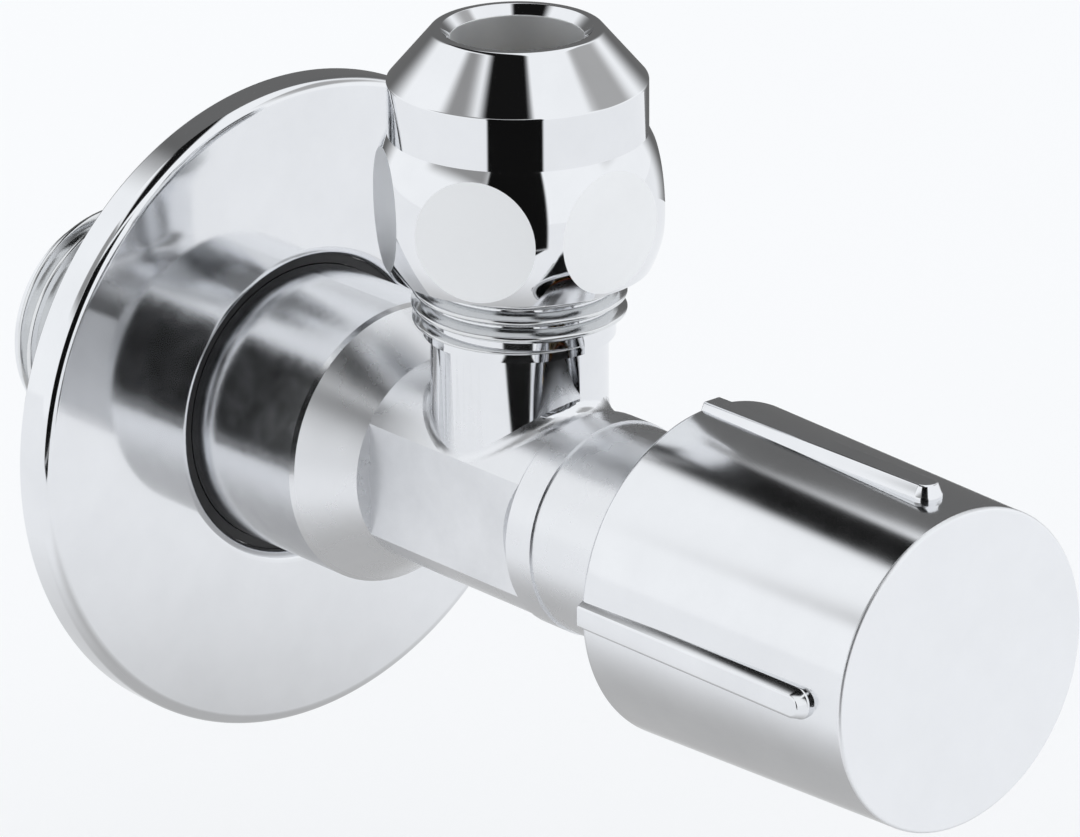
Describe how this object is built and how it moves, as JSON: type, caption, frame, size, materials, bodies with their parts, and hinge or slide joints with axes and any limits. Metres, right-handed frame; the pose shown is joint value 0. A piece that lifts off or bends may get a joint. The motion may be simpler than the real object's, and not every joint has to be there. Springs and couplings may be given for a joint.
{
  "type": "angle valve",
  "caption": "Chromed wall angle valve with a sliding escutcheon, threaded inlet, tube compression outlet and a ribbed knob on a non-rising spindle.",
  "frame": {"origin": "on the inlet axis in the wall plane, at the shoulder where the inlet thread meets the barrel", "axes": "+X along the valve axis away from the wall, towards the knob; +Z along the outlet, upwards"},
  "size_m": [0.1002, 0.054, 0.0648],
  "materials": {
    "body_chrome": "bright chrome over cast and turned brass",
    "escutcheon_chrome": "mirror chrome on pressed sheet",
    "nut_chrome": "mirror chrome with satin flats",
    "handle_chrome": "bright chrome over die casting",
    "grip_rubber": "black moulded rubber",
    "seal_rubber": "black moulded rubber",
    "olive_brass": "plain turned brass",
    "headwork_brass": "plain turned brass",
    "gasket_fibre": "red fibre",
    "insert_plastic": "natural moulded plastic",
    "clip_steel": "stainless steel"
  },
  "bodies": {
    "valve": {"valve_body": "body_chrome", "bonnet": "headwork_brass", "bonnet_gasket": "gasket_fibre"},
    "escutcheon": {"escutcheon": "escutcheon_chrome", "grip_ring": "grip_rubber"},
    "knob": {"handle": "handle_chrome", "handle_insert": "insert_plastic", "spindle": "headwork_brass", "spindle_o_ring_inner": "seal_rubber", "spindle_o_ring_outer": "seal_rubber", "thrust_washer": "insert_plastic", "retaining_clip": "clip_steel"},
    "disc": {"disc_carrier": "headwork_brass", "carrier_o_ring": "seal_rubber", "seat_washer": "seal_rubber", "washer_screw": "clip_steel"},
    "olive": {"olive": "olive_brass"},
    "nut": {"compression_nut": "nut_chrome"}
  },
  "joints": [
    {"name": "knob_turn", "type": "hinge", "parent": "valve", "child": "knob", "pos_m": [0.05, 0, 0], "axis": [1, 0, 0], "range_deg": [0, 900]},
    {"name": "disc_lift", "type": "slide", "parent": "valve", "child": "disc", "axis": [1, 0, 0], "range_m": [0, 0.00375]},
    {"name": "olive_lift", "type": "slide", "parent": "valve", "child": "olive", "axis": [0, 0, 1], "range_m": [0, 0.00669]},
    {"name": "nut_turn", "type": "hinge", "parent": "olive", "child": "nut", "pos_m": [0.0286, 0, 0.024], "axis": [0, 0, 1], "range_deg": [0, 1800]},
    {"name": "escutcheon_slide", "type": "slide", "parent": "valve", "child": "escutcheon", "axis": [1, 0, 0], "range_m": [0, 0.01]}
  ],
  "couplings": [
    {"joint": "disc_lift", "follows": "knob_turn", "m_per_rad": 0.00023873},
    {"joint": "olive_lift", "follows": "nut_turn", "m_per_rad": 0.00021279}
  ]
}
